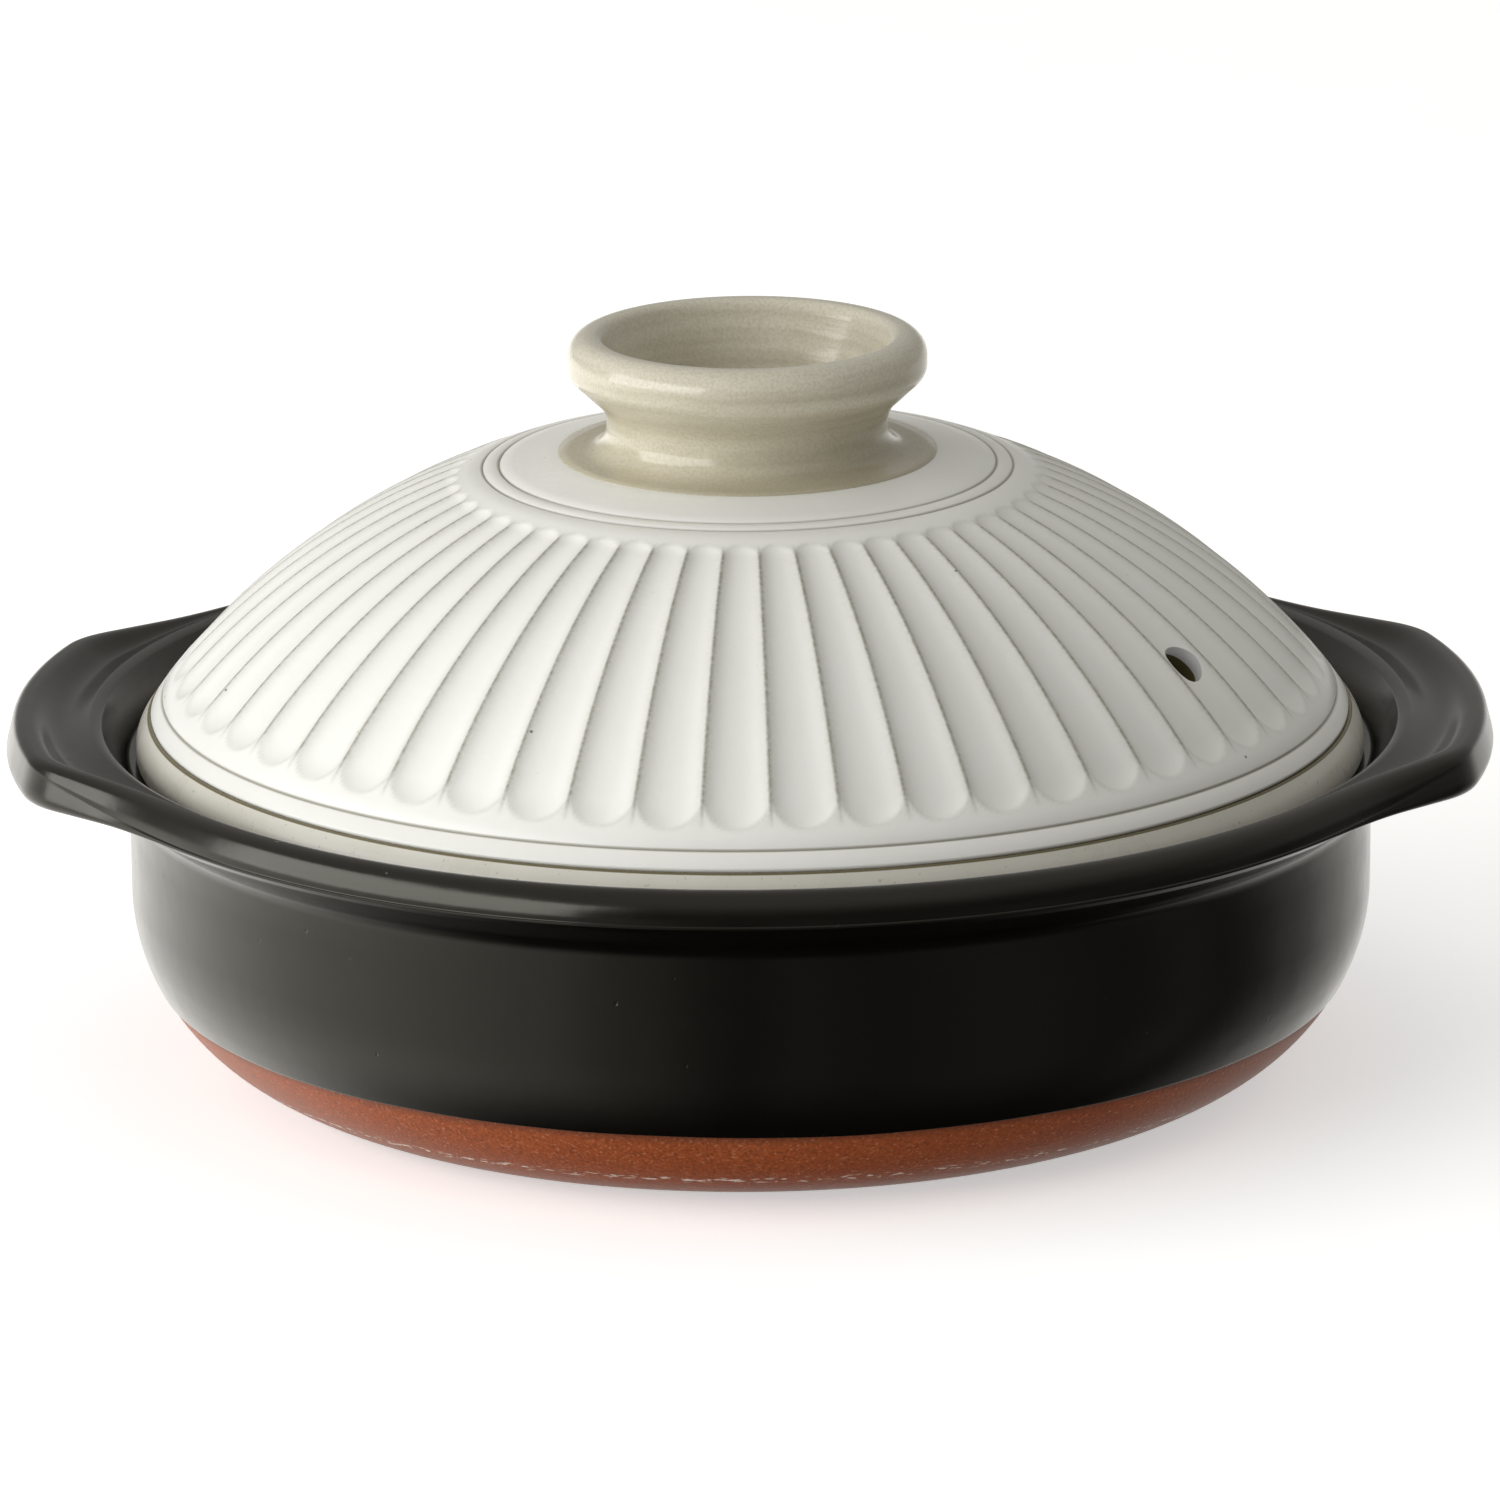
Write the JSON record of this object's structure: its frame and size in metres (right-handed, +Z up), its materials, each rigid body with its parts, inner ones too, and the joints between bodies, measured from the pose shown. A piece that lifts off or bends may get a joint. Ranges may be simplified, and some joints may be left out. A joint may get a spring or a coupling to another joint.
{
  "type": "lidded clay cooking pot",
  "caption": "Round stoneware hot pot with a flared rim, a lug on each side, and a fluted dome lid with a steam hole and a hollow ring knob that lifts off.",
  "frame": {"origin": "middle of the pot's flat base, on the surface that it stands on", "axes": "+X through the right lug, +Y away from the picture's viewer, +Z up through the knob"},
  "size_m": [0.305, 0.2782, 0.152],
  "materials": {
    "black_glaze": "satin black iron glaze on stoneware, with pinholes and faint turning rings",
    "white_glaze": "satin off-white glaze on stoneware, thinner and greyer on edges, with a few dark specks",
    "clear_glaze": "thin clear glaze over pale stoneware, on the lid's skirt and inside",
    "straw_glaze": "glossy khaki-beige ash glaze on stoneware, finely speckled",
    "bare_clay": "bare fired stoneware of the pot's foot, matt and grainy"
  },
  "bodies": {
    "pot": {"bowl": "black_glaze", "left_lug": "black_glaze", "right_lug": "black_glaze"},
    "lid": {"lid_skirt": "clear_glaze", "lid_dome": "white_glaze", "lid_knob": "straw_glaze"}
  },
  "joints": [
    {"name": "lid_lift", "type": "slide", "parent": "pot", "child": "lid", "axis": [0, 0, 1], "range_m": [0, 0.15]}
  ]
}
